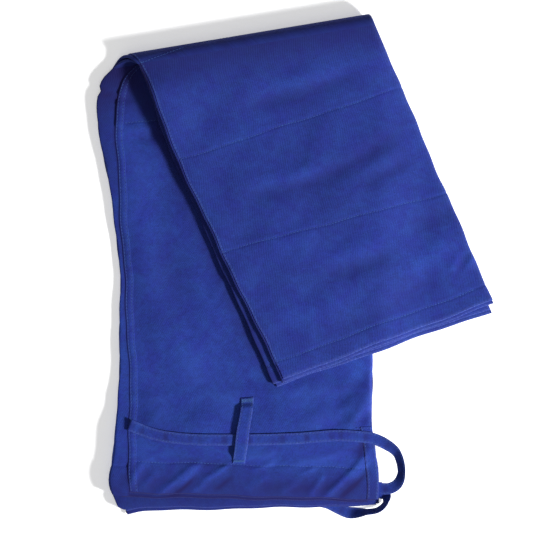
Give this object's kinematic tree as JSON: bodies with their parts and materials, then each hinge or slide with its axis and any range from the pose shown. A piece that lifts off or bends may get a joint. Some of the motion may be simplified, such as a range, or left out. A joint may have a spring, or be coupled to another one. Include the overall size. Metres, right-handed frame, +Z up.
{
  "type": "judo trousers",
  "caption": "Folded judo trousers of blue cotton drill with knee patches, belt loops and a flat drawstring in a waist casing.",
  "frame": {"origin": "on the floor, under the middle of the folded trousers' box", "axes": "+Z up, +Y from the waist to the fold across the legs, +X from the side seams to the centre front"},
  "size_m": [0.4321, 0.5534, 0.0275],
  "materials": {
    "cloth": "matt cotton drill, royal blue",
    "patch": "matt cotton drill with rows of stitching",
    "turned_cloth": "matt cotton drill, turned in and stitched",
    "loop": "matt cotton drill, doubled and stitched",
    "tape": "matt woven cotton tape"
  },
  "bodies": {
    "seat_and_thighs": {"left_front_thigh": "cloth", "left_front_waist_casing": "turned_cloth", "left_back_thigh": "cloth", "left_back_waist_casing": "turned_cloth", "left_knee_patch_thigh": "patch", "left_belt_loop": "loop", "left_slit_facing": "turned_cloth", "right_front_thigh": "cloth", "right_front_waist_casing": "turned_cloth", "right_back_thigh": "cloth", "right_back_waist_casing": "turned_cloth", "right_knee_patch_thigh": "patch", "right_belt_loop": "loop", "right_slit_facing": "turned_cloth", "left_front_fold": "cloth", "left_back_fold": "cloth", "left_knee_patch_fold": "patch", "right_front_fold": "cloth", "right_back_fold": "cloth", "right_knee_patch_fold": "patch", "drawstring_back_run": "tape"},
    "shins": {"left_front_shin": "cloth", "left_front_hem": "turned_cloth", "left_back_shin": "cloth", "left_back_hem": "turned_cloth", "left_knee_patch_shin": "patch", "right_front_shin": "cloth", "right_front_hem": "turned_cloth", "right_back_shin": "cloth", "right_back_hem": "turned_cloth", "right_knee_patch_shin": "patch"},
    "drawstring_left": {"drawstring_left_run": "tape", "drawstring_left_end": "tape"},
    "drawstring_right": {"drawstring_right_run": "tape", "drawstring_right_end": "tape"}
  },
  "joints": [
    {"name": "leg_fold", "type": "hinge", "parent": "seat_and_thighs", "child": "shins", "pos_m": [-0.0578, 0.2437, 0.014], "axis": [-0.9866, -0.1633, 0], "range_deg": [0, 181], "deforming": ["left_front_fold", "left_back_fold", "left_knee_patch_fold", "right_front_fold", "right_back_fold", "right_knee_patch_fold"]},
    {"name": "drawstring_left_pull", "type": "slide", "parent": "seat_and_thighs", "child": "drawstring_left", "axis": [1, 0, 0], "range_m": [0, 0.04]},
    {"name": "drawstring_right_pull", "type": "slide", "parent": "seat_and_thighs", "child": "drawstring_right", "axis": [1, 0, 0], "range_m": [0, 0.03]}
  ]
}
